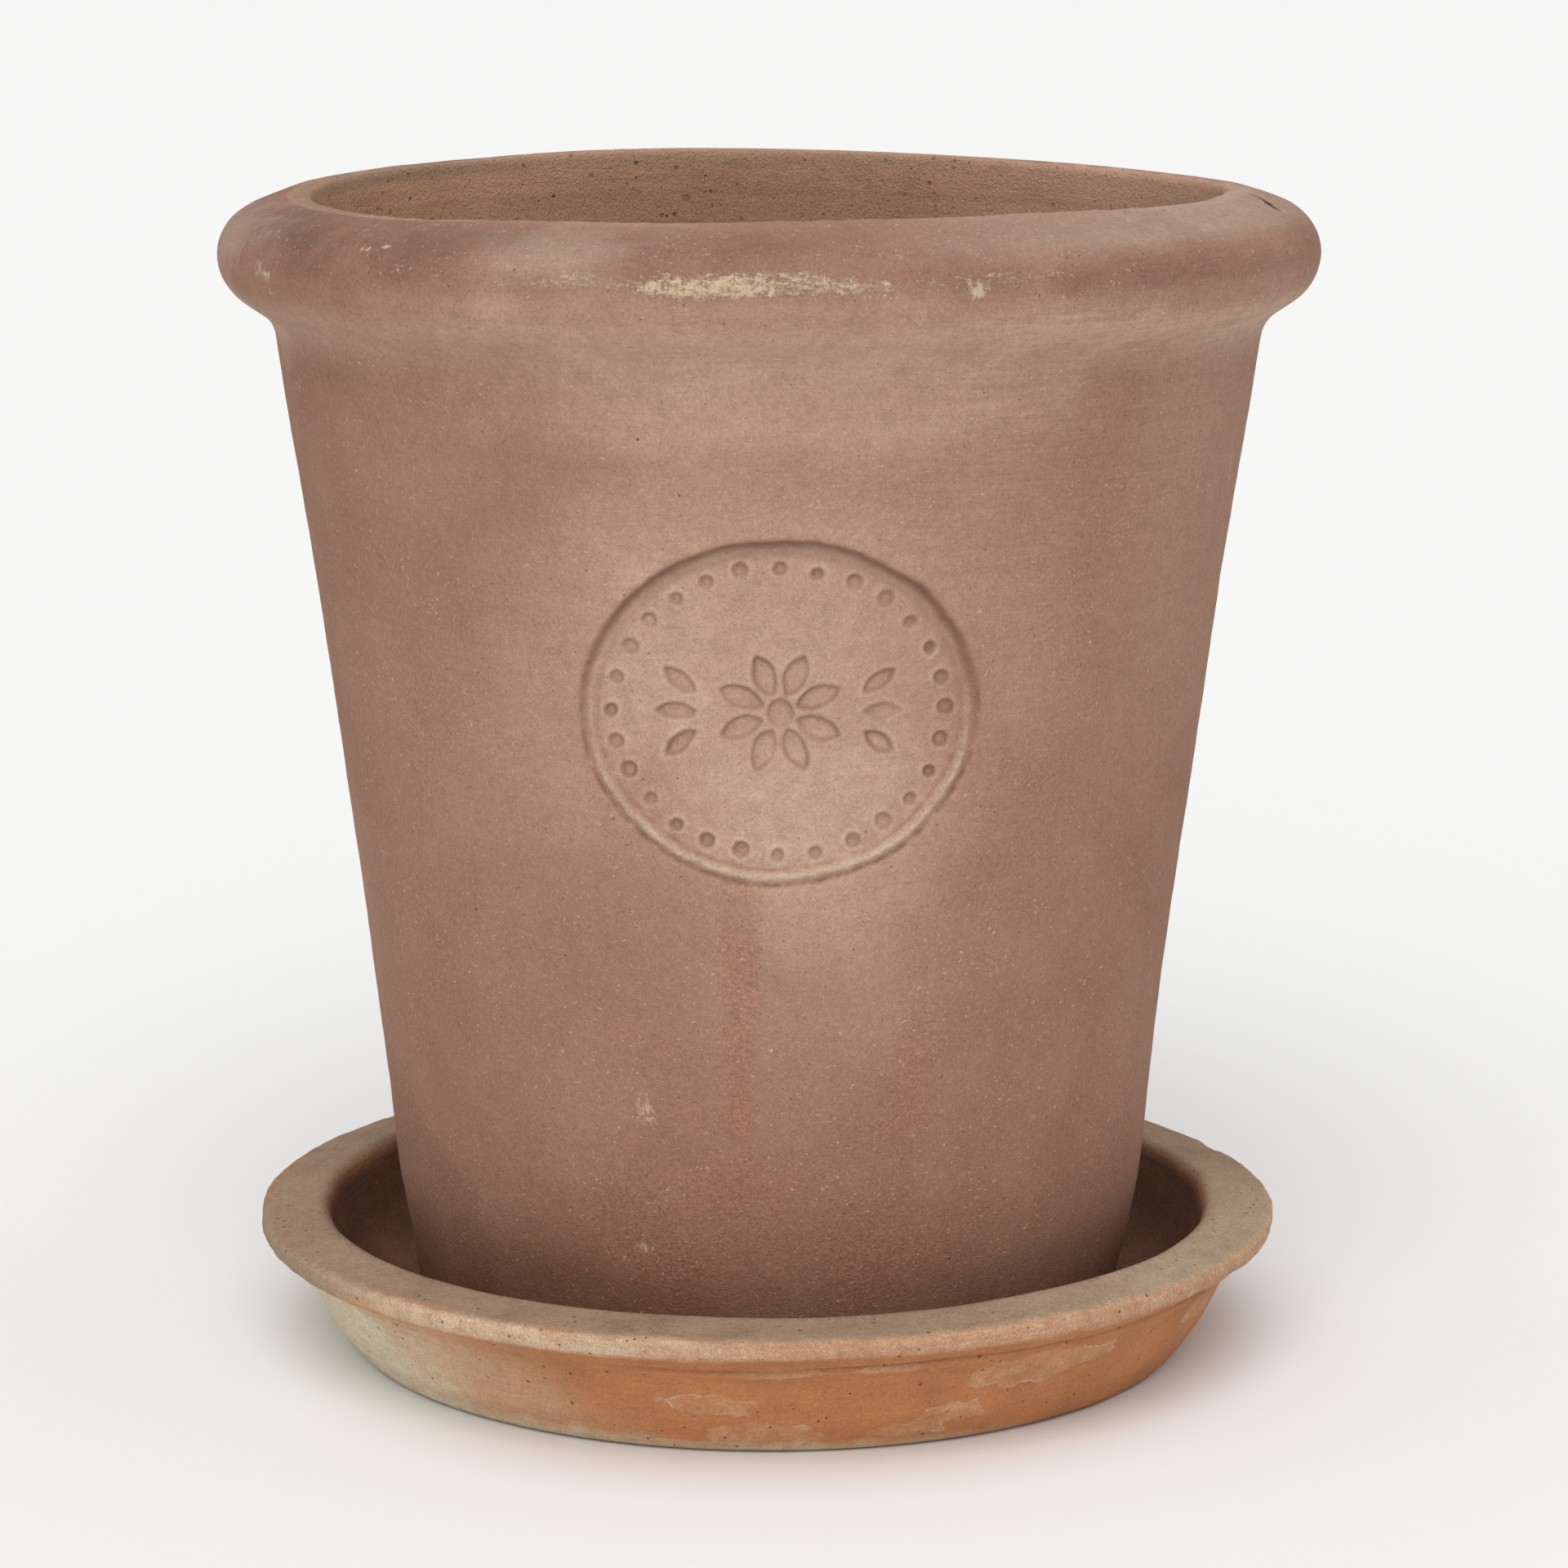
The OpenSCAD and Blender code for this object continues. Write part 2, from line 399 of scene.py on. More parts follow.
def line_distance(xy, points):
    """Distance in plan from each point to a line through the given points."""
    nearest = np.full(len(xy), 1e9)
    for a, b in zip(points[:-1], points[1:]):
        along = np.clip(((xy - a) @ (b - a)) / ((b - a) @ (b - a)), 0, 1)
        nearest = np.minimum(nearest, np.linalg.norm(xy - a - along[:, None] * (b - a), axis=1))
    return nearest


# Where the clay is stained: angle (degrees), height (mm), half width (degrees), half height (mm), strength
BLOOM = [
    (1, 158, 19, 36, 0.46), (3, 176, 33, 54, 0.34), (-24, 166, 14, 38, 0.24), (70, 188, 17, 60, 0.15),
    (-2, 238, 46, 8, 0.42), (0, 221, 36, 9, 0.46), (-20, 250, 5, 5, 0.30), (-27, 246, 3, 6, 0.20),
    (-82, 248, 13, 8, 0.38), (48, 238, 30, 6, 0.20), (-74, 229, 4, 8, 0.35), (6, 100, 18, 34, 0.26),
    (-100, 120, 20, 60, 0.30), (-142, 158, 30, 55, 0.50), (176, 196, 28, 26, 0.42), (128, 112, 34, 52, 0.40),
    (-34, 72, 14, 22, 0.14), (-50, 208, 14, 16, 0.15), (55, 212, 9, 14, 0.10), (0, 196, 20, 14, 0.12),
    (150, 238, 40, 7, 0.4), (-110, 238, 30, 7, 0.35), (9, 130, 16, 22, 0.30),
]
RUST = [
    (-3.7, 98, 2.6, 36, 1.10), (40, 176, 6, 46, 0.50), (20, 84, 4, 30, 0.55), (13, 66, 3, 20, 0.15),
    (-9, 46, 16, 16, 0.6), (18, 40, 9, 12, 0.6), (33, 118, 7, 24, 0.30), (-46, 205, 9, 16, 0.30),
    (152, 84, 8, 44, 0.8), (-122, 62, 18, 26, 0.6), (100, 150, 9, 50, 0.6), (-160, 190, 10, 24, 0.5),
    (62, 60, 12, 20, 0.4), (-56, 150, 13, 60, 0.45), (66, 170, 12, 50, 0.35), (-40, 160, 7, 28, 0.25),
    (29, 150, 6, 30, 0.30),
]
SMOKE = [
    (-57, 248, 9, 6, 0.36), (-38, 251, 6, 5, 0.28), (-47, 248, 7, 5, 0.25), (-8, 252, 12, 4, 0.25),
    (44, 245.5, 26, 4, 0.20), (-95, 252, 16, 4, 0.3), (120, 247, 30, 6, 0.5), (-150, 248, 26, 6, 0.6),
    (-52, 255, 22, 4, 0.38), (-72, 252, 8, 4, 0.20),
]
DUST = [
    (-22, 252, 8, 4, 0.40), (-80, 251, 16, 5, 0.45), (0, 256, 40, 2.5, 0.10),
    (28, 252, 14, 3, 0.20), (160, 253, 20, 4, 0.3),
]
LIME = [
    (-7.0, 246.8, 6.0, 2.7, 1.00), (2.0, 247.4, 8.0, 2.6, 0.85), (-20, 246.6, 12, 0.8, 0.72),
    (-18, 248.6, 5, 0.9, 0.70), (17, 246.4, 12, 1.6, 0.50), (26, 248.0, 9, 0.6, 0.55),
    (158, 247.0, 12, 2.4, 0.8),
]
SCUFFS = [
    (-44.1, 251.5, 0.9, 0.7, 0.9), (-41.8, 252.4, 1.0, 0.6, 0.9), (-61.6, 244.6, 2.2, 2.2, 0.8),
    (-59.2, 241.6, 0.8, 2.2, 0.5), (-17, 69.6, 1.4, 3.0, 0.7), (-17.6, 74.5, 1.0, 2.0, 0.5),
    (-18, 40.4, 2.2, 2.4, 0.7), (-23, 38.8, 3.2, 2.0, 0.5), (2.5, 208.3, 1.4, 1.6, 0.7),
    (25.5, 178, 0.8, 1.4, 0.7), (-35.8, 82.5, 2.6, 3.4, 0.45), (60.6, 198, 0.7, 4.5, 0.6),
    (73.4, 197, 1.0, 9.0, 0.6), (-70, 219, 1.6, 6, 0.5), (20.5, 246, 1.0, 2.0, 0.6),
    (56, 243.4, 2.2, 1.0, 0.5), (19.5, 245.2, 1.6, 2.6, 0.55), (67, 247.6, 2.0, 1.0, 0.6),
    (32, 229, 3.5, 1.6, 0.4), (-33, 247, 1.6, 3, 0.35), (12, 171, 0.6, 3, 0.5),
    (-24, 120, 1.2, 2, 0.4), (16, 112, 1.0, 1.2, 0.5), (30, 66, 0.8, 2.4, 0.4),
    (-27, 96, 2.4, 1.0, 0.45), (-12, 36, 4, 2, 0.4), (13, 38, 1.2, 3.4, 0.4),
    (108, 96, 2, 3, 0.6), (-131, 128, 2, 4, 0.6), (171, 60, 3, 3, 0.6), (139, 216, 3, 1.5, 0.6),
]


def degrees_from(q, angle):
    """Degrees round the axis from an angle to each point, from -180 to 180."""
    return (np.degrees(q["theta"]) - angle + 180) % 360 - 180


def stains(q, p, spots, ragged):
    """The sum of soft oval spots on the clay, with edges that wander by a ragged share of their size."""
    total = np.zeros(len(p))
    for k, (angle, height, wide, tall, strength) in enumerate(spots):
        distance = np.hypot(degrees_from(q, angle) / wide, (p[:, 2] - height) / tall)
        near = distance < 3
        size = max(min(tall, wide * 1.6), 0.8)
        distance[near] += ragged * layered(p[near], size, 40 + k, 2)
        total += strength * step(distance, 1.45, 0.45)
    return total


def pot_masks(q, p, inner, mouth):
    """How strongly each stain covers each point of the pot, from 0 to 1; bloom and damp also hold painted
    light and shade.
    """
    z = p[:, 2]
    clouds = layered(p, 46, 31, 3)
    outer = 1 - inner
    turn = np.degrees(q["theta"])
    # Painted light: the band under the roll, where the roll shades it, is made paler by adding it to the
    # bloom
    cove_light = step(z, NECK_Z - 9, NECK_Z + 2) * step(z, NECK_Z + 11, NECK_Z + 5)
    crown = step(q["nz"], 0.5, 0.95) * step(z, POT_TOP - 12, POT_TOP - 4)
    bloom_and_cove_light = stains(q, p, BLOOM, 0.25) + 0.55 * cove_light + 0.04 + 0.15 * clouds
    rust = stains(q, p, RUST, 0.35) + 0.16 * np.maximum(0, layered(p, 30, 34, 3)) + 0.25 * step(z, 110, 40)
    roll = step(z, POT_TOP - 15.5, POT_TOP - 11.5) * (1 - 0.6 * step(z, POT_TOP - 4, POT_TOP))
    smoke = roll * (0.26 + 0.20 * step(z, POT_TOP - 8, POT_TOP - 5) + 0.28 * layered(p, (14, 14, 9), 35, 4))
    smoke = smoke * (1 - 0.35 * step(turn, 20, 60) * step(turn, 120, 90)) + stains(q, p, SMOKE, 0.35)
    # Darker towards the foot: painted shade where the saucer shades the pot, over a damp stain, with a patch
    # low on the left
    damp_and_foot_shade = 0.33 * step(z, 74, 26) + 0.62 * step(z + 4 * clouds, 36, 13)
    damp_and_foot_shade += 0.22 * step(z, 80, 30) * step(np.abs(turn + 52), 40, 15)
    dust = crown * (0.08 + 0.5 * step(np.abs(degrees_from(q, 62)), 55, 20) + 0.15 * clouds)
    dust += crown * mouth * (0.35 + 0.3 * clouds) + stains(q, p, DUST, 0.35)
    return {
        "bloom_and_cove_light": outer * np.clip(bloom_and_cove_light, 0, 1),
        "rust": outer * np.clip(rust, 0, 1),
        "smoke": outer * np.clip(smoke, 0, 1),
        "damp_and_foot_shade": outer * np.clip(damp_and_foot_shade, 0, 1),
        "dust": outer * np.clip(dust, 0, 1),
        "lime": outer * np.clip(stains(q, p, LIME, 0.2), 0, 1),
        "scuff": outer * np.clip(stains(q, p, SCUFFS, 0.5), 0, 1),
    }


def pot_shape(q):
    """The radius and height of each point of the pot's skin, and the masks for its clay."""
    p = points_of(q)
    theta, r, z = q["theta"], q["r"], q["z"]
    s_lip = way_pot["s"][np.argmax(way_pot["z"])]
    worn = step(np.sin(theta), -0.4, -0.85)
    bared = step(np.sin(theta), -0.72, -0.95)
    s_sand = s_lip + 0.2 - 4.2 * bared + 0.7 * noise(p, 4, 51)
    inner = step(q["s"], s_sand, s_sand + 1.4) * step(q["s"], way_pot["s"][-1] - 4, way_pot["s"][-1] - 14)
    outer = 1 - step(q["s"], s_lip - 6, s_lip)
    rimward = step(z, NECK_Z - 30, POT_TOP - 8)
    footward = step(z, POT_Z + 12, POT_Z)

    # The hand-worked form: slow waves in the wall and rim, and shallow rings left by wiping
    push = 0.45 * noise(p, 70, 1) + 0.16 * noise(p, 24, 2)
    push += 0.07 * noise(p, (70, 70, 4.0), 3) + 0.035 * noise(p, (40, 40, 1.7), 4)
    push += 0.10 * rimward * outer * layered(p, 9, 5, 2)
    band = inner * step(z, POT_TOP - BAND_H - 2, POT_TOP - BAND_H + 1)
    push += inner * (0.12 * layered(p, (16, 16, 5), 6, 3) + 0.05 * noise(p, 4, 7))
    push -= band * 0.12 * np.maximum(0, layered(p, (6, 6, 2.2), 8, 2) - 0.1)
    push += 0.30 * band - 0.5 * (inner - band) * hump(z, POT_TOP - BAND_H - 1, 5)
    push += 0.6 * hump(theta, math.radians(85), 0.45) * hump(q["s"], s_lip - 9, 6)
    push -= 1.5 * worn * hump(q["s"], s_lip - 0.8, 2.6)
    push += 0.55 * outer * hump(z, 206, 27)
    push *= 1 - 0.85 * footward
    facing = (np.cos(theta) > 0.75) & (q["nr"] > 0.8) & (np.abs(z - SEAL_Z) < SEAL_B + 12)
    relief, hollow, edge = (np.where(facing, values, 0) for values in seal_relief(p))
    push += relief

    top = step(z, POT_TOP - 14, POT_TOP - 6)
    crack = top * hump(line_distance(p[:, :2] + 0.4 * noise(p, 2.5, 9)[:, None], CRACK_LINE), 0, 1.05)
    push -= 1.4 * crack
    chip = np.linalg.norm((p[:, :2] - rim_place(*CHIP)) / (1 + 0.4 * noise(p, 3, 10)[:, None]), axis=1)
    push -= top * 0.9 * step(chip, 3.6, 1.6)

    right = hump(theta, math.radians(90), 0.42)
    roll_wave = 0.25 * right + 0.4 * np.sin(theta) + 0.3 * np.sin(2 * theta)
    crown_wave = 0.9 * right + 0.1 * np.sin(theta) - 0.2 * np.cos(theta)
    crown_wave += 0.6 * np.sin(2 * theta) + 0.8 * np.cos(2 * theta)
    wave = roll_wave + (crown_wave - roll_wave) * step(z, POT_TOP - 13, POT_TOP - 2)
    r = r + push * q["nr"] + rimward * 0.35 * np.cos(2 * theta + 0.6)
    r = r + 0.6 * np.sin(theta) * step(z, 95, 45) * step(z, POT_Z, POT_Z + 20)
    z = np.maximum(z + push * q["nz"] + rimward * wave, POT_Z)
    masks = pot_masks(q, p, inner, step(q["s"], s_lip - 5, s_lip - 1))
    border = step(np.sin(theta), 0.75, 0.2) * step(z + 0.9 * noise(p, 6, 52), POT_TOP - 5.5, POT_TOP - 2.5)
    masks.update(
        inner=inner, band=band, hollow=hollow, edge=edge, crack=crack,
        border=inner * np.clip(0.6 * border, 0, 1),
        worn=inner * worn * step(z, POT_TOP - 5, POT_TOP - 2),
        plain=1 - step(relief, -0.2, -0.6) * facing,
    )
    return r, z, masks


def pot_pitch():
    """Row heights in millimetres: small on the seal, the rim and the foot, larger on plain walls."""
    z, nr, s = way_pot["z"], way_pot["nr"], way_pot["s"]
    s_lip = s[np.argmax(z)]
    outside = s < s_lip
    pitch = np.where(outside, 3.2, 7.0)
    pitch = np.where(outside & (np.abs(z - SEAL_Z) < SEAL_B + 5) & (nr > 0.8), 1.9, pitch)
    pitch = np.where(outside & (z > NECK_Z - 5), 1.3, pitch)
    pitch = np.where(~outside & (z > POT_TOP - 16), 1.1, pitch)
    pitch = np.where((z < POT_Z + 3) & (nr > 0.2), 0.9, pitch)
    return smoothed(pitch)


def pot_refine(q):
    """The faces that carry fine relief: those on the seal, the crack and the chip."""
    p = points_of(q)
    on_seal = (np.abs(p[:, 0] - SEAL_X) < SEAL_A + 3) & (np.abs(p[:, 2] - SEAL_Z) < SEAL_B + 3)
    on_seal &= (np.cos(q["theta"]) > 0.5) & (q["nr"] > 0.8)
    top = (p[:, 2] > POT_TOP - 12) & (q["nz"] > 0.1)
    on_crack = (line_distance(p[:, :2], CRACK_LINE) < 2.5) & top
    on_chip = (np.linalg.norm(p[:, :2] - rim_place(*CHIP), axis=1) < 5) & top
    return on_seal | on_crack | on_chip


# ---------------------------------------------------------------- saucer

lip_low = DISH_H - 1.2 - LIP_T

# The saucer's half section, from the middle of its underside round to the middle of its floor
DISH_CORNERS = [
    (0, 0, 0),
    (BASE_R, 0, 5),
    (BASE_R + 5.8, 7.4, 10),
    (DISH_R - 9, lip_low - 6.4, 12),
    (DISH_R - 3.4, lip_low - 0.8, 3),
    (DISH_R, lip_low, 2),
    (DISH_R, lip_low + LIP_T, 1.9),
    (DISH_R - FLANGE_W, DISH_H, 3.4),
    (DISH_R - FLANGE_W - 2, DISH_H - 6, 14),
    (BASE_R - 2.5, BASE_T, 16),
    (0, BASE_T, 0),
]
way_dish = track(DISH_CORNERS, False)

# Saucer stains, in the same form as the pot's
PALE = [
    (-66, 14, 20, 26, 1.0), (-92, 12, 26, 26, 0.8), (-42, 10, 22, 18, 0.30), (-20, 0, 34, 3.5, 0.55),
    (16, 0, 22, 2.5, 0.35), (150, 14, 30, 22, 0.7),
]
SLIP = [
    (1.5, 22.0, 5.0, 1.4, 0.8), (14, 22, 4, 1.2, 0.8), (33, 17, 11, 4.0, 0.9), (0, 5, 8, 4.0, 0.9),
    (-7, 13, 6, 3.0, 0.9), (18, 5, 6, 2.2, 0.7), (24, 9, 5, 2.5, 0.7), (70, 16, 8, 3, 0.8),
    (110, 9, 10, 4, 0.8), (160, 18, 8, 2.5, 0.8), (-150, 8, 9, 4, 0.8), (-120, 17, 7, 2, 0.8),
]
CREAM = [
    (-32, 28.6, 26, 3.6, 0.60), (24, 28.6, 24, 3.6, 0.14), (-80, 28, 20, 8, 0.30),
    (120, 28, 60, 8, 0.4), (-160, 28, 30, 8, 0.5),
]
CHALKY = [(68, 31, 34, 8, 0.20)]
MAUVE = [(-28, 31, 20, 6, 0.35), (10, 31, 24, 6, 0.22), (110, 31, 30, 6, 0.3), (-130, 31, 30, 6, 0.3)]


def dish_shape(q):
    """The radius and height of each point of the saucer's skin, and the masks for its clay."""
    p = points_of(q)
    theta, r, z, s = q["theta"], q["r"], q["z"], q["s"]
    s_nose = way_dish["s"][np.argmax(way_dish["r"])]
    s_flange = s_nose + 15.5
    inner = step(s, s_flange, s_flange + 6)
    under = 1 - step(s, s_nose - 3.5, s_nose - 1.5)
    lip = step(s, s_nose - 2.2, s_nose - 0.9) * step(s + 0.5 * noise(p, 8, 29), s_nose + 3.6, s_nose + 2.2)
    # Round the left of the saucer the film on its flange runs on over the lip
    lichened = step(np.abs((theta + 1.65 + math.pi) % (2 * math.pi) - math.pi), 0.95, 0.55)
    nose = hump(s, s_nose, 5.0)
    flat = step(r, BASE_R - 1, BASE_R + 4)
    floor = inner * (1 - step(r, BASE_R - 16, BASE_R - 6))

    push = 0.40 * noise(p, 55, 21) + 0.15 * noise(p, 18, 22)
    push += 0.10 * layered(p, (12, 12, 3), 23, 2)
    worn = 0.35 + 0.65 * step(np.sin(theta), 0.1, 0.7)
    push += nose * (0.20 * layered(p, 4.5, 24, 3) - 0.55 * worn * step(noise(p, (9, 9, 4), 25), 0.35, 0.8))
    broken = step(noise(p, 45, 27), -0.9, 0.1)
    crease = broken * hump(s, s_nose - 8.2 + 0.6 * noise(p, 22, 26), 0.5)
    push -= 0.45 * crease
    push += 0.3 * broken * hump(s, s_nose - 10.2 + 0.6 * noise(p, 22, 26), 1.4)
    push += 0.15 * under * layered(p, (7, 7, 2.5), 28, 3)
    push = push * (flat * (1 - floor) + 0.1 * floor)
    push = np.where(floor > 0.5, np.minimum(push, 0), push)

    wave = step(z, 4, DISH_H - 4) * (0.45 * np.sin(theta + 0.8) + 0.35 * np.sin(2 * theta - 0.5))
    r = r + push * q["nr"] + step(z, 4, DISH_H) * 0.4 * np.cos(2 * theta)
    z = np.maximum(z + push * q["nz"] + wave * (1 - floor), 0)
    line = hump(s, s_nose + 3.6 + 0.4 * noise(p, 12, 30), 0.5)
    masks = {
        "lip": lip * (1 - lichened),
        "top": step(s + 5.6 * lichened, s_nose + 1.8, s_nose + 3.4) * (1 - inner),
        "line": line * step(noise(p, 24, 36), -0.1, 0.4) * step(theta, 0, -0.2),
        "crease": crease,
        "bowl": step(s + 1.2 * noise(p, 16, 37), s_flange - 1, s_flange + 6),
        "pale": under * np.clip(stains(q, p, PALE, 0.3), 0, 1),
        "slip": under * np.clip(stains(q, p, SLIP, 0.3), 0, 1),
        "cream": np.clip(stains(q, p, CREAM, 0.2), 0, 1),
        "chalky": np.clip(stains(q, p, CHALKY, 0.2), 0, 1),
        "mauve": np.clip(stains(q, p, MAUVE, 0.2), 0, 1),
    }
    return r, z, masks


def dish_pitch():
    """Row heights in millimetres: small at the lip and larger on the floor."""
    s, r = way_dish["s"], way_dish["r"]
    s_nose = s[np.argmax(r)]
    pitch = np.where(r < BASE_R - 12, 8.0, 1.5)
    pitch = np.where(np.abs(s - s_nose) < 14, 0.8, pitch)
    return smoothed(pitch)


# ---------------------------------------------------------------- pieces

def no_refine(q):
    """None of the faces: the saucer's are small enough as they are."""
    return q["r"] < 0


POT_COLUMNS, DISH_COLUMNS = 320, 480            # faces round each skin
POT_PARTS = 4                                   # a refined face of the pot is split into 4 x 4

pot = revolve("pot_clay_body", way_pot, True, POT_COLUMNS, pot_pitch(), pot_refine, pot_shape, POT_PARTS)
dish = revolve("saucer_clay_body", way_dish, False, DISH_COLUMNS, dish_pitch(), no_refine, dish_shape, 1)
for piece, node, slot_name in ((pot, "pot", "pot_clay"), (dish, "saucer", "saucer_clay")):
    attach(piece, node)
    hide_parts(node)


# ---------------------------------------------------------------- material nodes

class Wire:
    """A value in a node tree. Arithmetic on wires makes Math nodes."""

    def __init__(self, tree, socket):
        self.tree, self.socket = tree, socket

    def math(self, operation, other=0.0, swapped=False):
        node = self.tree.nodes.new("ShaderNodeMath")
        node.operation = operation
        for slot, value in zip(node.inputs, (other, self) if swapped else (self, other)):
            plug(self.tree, slot, value)
        return Wire(self.tree, node.outputs[0])

    def __add__(self, other):
        return self.math("ADD", other)

    def __sub__(self, other):
        return self.math("SUBTRACT", other)

    def __mul__(self, other):
        return self.math("MULTIPLY", other)

    def __rsub__(self, other):
        return self.math("SUBTRACT", other, True)

    __radd__, __rmul__ = __add__, __mul__

    def ramp(self, low, high):
        """0 where the value is low, 1 where it is high, smooth between; low may be the larger."""
        node = self.tree.nodes.new("ShaderNodeMapRange")
        node.interpolation_type = "SMOOTHSTEP"
        for name, value in (("Value", self), ("From Min", low), ("From Max", high)):
            plug(self.tree, node.inputs[name], value)
        return Wire(self.tree, node.outputs[0])


def plug(tree, slot, value):
    if isinstance(value, Wire):
        tree.links.new(value.socket, slot)
    elif isinstance(value, tuple) and slot.type == "RGBA":
        slot.default_value = (*value, 1)
    else:
        slot.default_value = value


class Clay:
    """A clay material under construction. Points and sizes in its nodes are in millimetres."""

    def __init__(self, name):
        self.material = bpy.data.materials.new(name)
        self.material.use_nodes = True
        self.tree = self.material.node_tree
        self.shader = self.tree.nodes["Principled BSDF"]
        place = Wire(self.tree, self.node("TexCoord").outputs["Object"])
        self.point = self.vector("SCALE", place, Scale=1 / MM)
        x, y, self.height = self.split(self.point)
        self.radius = (x * x + y * y).math("SQRT")
        self.turn = x.math("ARCTAN2", 0 - y) * math.degrees(1)
        # The same angle and height on an upright cylinder, so that streaks run straight up a wall that slopes
        cylinder_r = 100.0
        joined = self.node("CombineXYZ")
        side_x, side_y = (c.math("DIVIDE", self.radius) * cylinder_r for c in (x, y))
        for slot, value in zip(joined.inputs, (side_x, side_y, self.height)):
            plug(self.tree, slot, value)
        self.upright = Wire(self.tree, joined.outputs[0])
        self.seed = 0

    def node(self, kind, **settings):
        made = self.tree.nodes.new("ShaderNode" + kind)
        for key, value in settings.items():
            setattr(made, key, value)
        return made

    def vector(self, operation, a, b=None, c=None, **named):
        node = self.node("VectorMath", operation=operation)
        for slot, value in zip(node.inputs, (a, b, c)):
            if value is not None:
                plug(self.tree, slot, value)
        for name, value in named.items():
            plug(self.tree, node.inputs[name], value)
        return Wire(self.tree, node.outputs[0])

    def split(self, vector):
        node = self.node("SeparateXYZ")
        plug(self.tree, node.inputs[0], vector)
        return [Wire(self.tree, output) for output in node.outputs]

    def mask(self, name):
        node = self.node("Attribute", attribute_name=name)
        return Wire(self.tree, node.outputs["Fac"])

    def scaled(self, size, upright):
        """The point divided by a feature size, one number or one for each axis, moved by a fresh offset."""
        self.seed += 1
        sizes = size if isinstance(size, tuple) else (size, size, size)
        shift = (17.3 * self.seed, -9.1 * self.seed, 5.7 * self.seed)
        source = self.upright if upright else self.point
        return self.vector("MULTIPLY_ADD", source, tuple(1 / c for c in sizes), shift)

    def noise(self, size, detail=2.0, rough=0.5, upright=False):
        """Noise about 0, mostly within -0.5 to 0.5, doubled to use its range."""
        node = self.node("TexNoise")
        plug(self.tree, node.inputs["Vector"], self.scaled(size, upright))
        for name, value in (("Scale", 1.0), ("Detail", detail), ("Roughness", rough)):
            node.inputs[name].default_value = value
        return (Wire(self.tree, node.outputs[0]) - 0.5) * 2.0

    def specks(self, cell, radius, share):
        """Round specks, at most one in each cell, in a share of the cells."""
        node = self.node("TexVoronoi")
        plug(self.tree, node.inputs["Vector"], self.scaled(cell, False))
        node.inputs["Scale"].default_value = 1.0
        red, green, _ = self.split(Wire(self.tree, node.outputs["Color"]))
        size = (green * green + 0.25) * (radius / cell)
        near = Wire(self.tree, node.outputs["Distance"]).math("DIVIDE", size)
        return near.ramp(1.0, 0.55) * red.ramp(1 - share, 1.001 - share)

    def mix(self, amount, low, high):
        """The colour low where the amount is 0 and high where it is 1."""
        node = self.node("Mix", data_type="RGBA", clamp_factor=True)
        for index, value in ((0, amount), (6, low), (7, high)):
            plug(self.tree, node.inputs[index], value)
        return Wire(self.tree, node.outputs[2])

    def shade(self, colour, amount):
        """The colour times an amount, which is a wire near 1."""
        return self.vector("SCALE", colour, Scale=amount)

    def finish(self, colour, roughness, height):
        """Joins up the shader: height is the small relief in millimetres."""
        bump = self.node("Bump")
        bump.inputs["Distance"].default_value = MM
        plug(self.tree, bump.inputs["Height"], height)
        plug(self.tree, self.shader.inputs["Base Color"], colour)
        plug(self.tree, self.shader.inputs["Roughness"], roughness)
        self.shader.inputs["Specular IOR Level"].default_value = 0.3
        self.tree.links.new(bump.outputs[0], self.shader.inputs["Normal"])
        return self.material


# ---------------------------------------------------------------- clay colours

CLAY, CLAY_DEEP = (0.340, 0.180, 0.121), (0.300, 0.152, 0.100)
# Pale bloom, also the colour of the painted light under the roll
BLOOM_AND_LIGHT_PALE = (0.510, 0.335, 0.245)
RUST_RED = (0.330, 0.155, 0.102)
SMOKE_MAUVE = (0.195, 0.098, 0.071)
DUST_GREY = (0.430, 0.305, 0.240)
# Dark brown for painted shade: at the foot over the damp stain, and in the seal's hollows
DAMP_AND_SHADE_BROWN = (0.150, 0.050, 0.024)
# Chalk white, also used for the painted highlight on the seal's raised edges
CHALK_AND_HIGHLIGHT, CHALK_YELLOW = (0.60, 0.46, 0.35), (0.54, 0.38, 0.235)
PIT_DARK, CRACK_DARK = (0.085, 0.042, 0.028), (0.045, 0.022, 0.015)
SAND, SAND_PALE, SAND_DARK = (0.460, 0.265, 0.168), (0.520, 0.320, 0.210), (0.380, 0.205, 0.125)
SAND_BORDER, HOLE_RED = (0.450, 0.300, 0.205), (0.120, 0.046, 0.027)


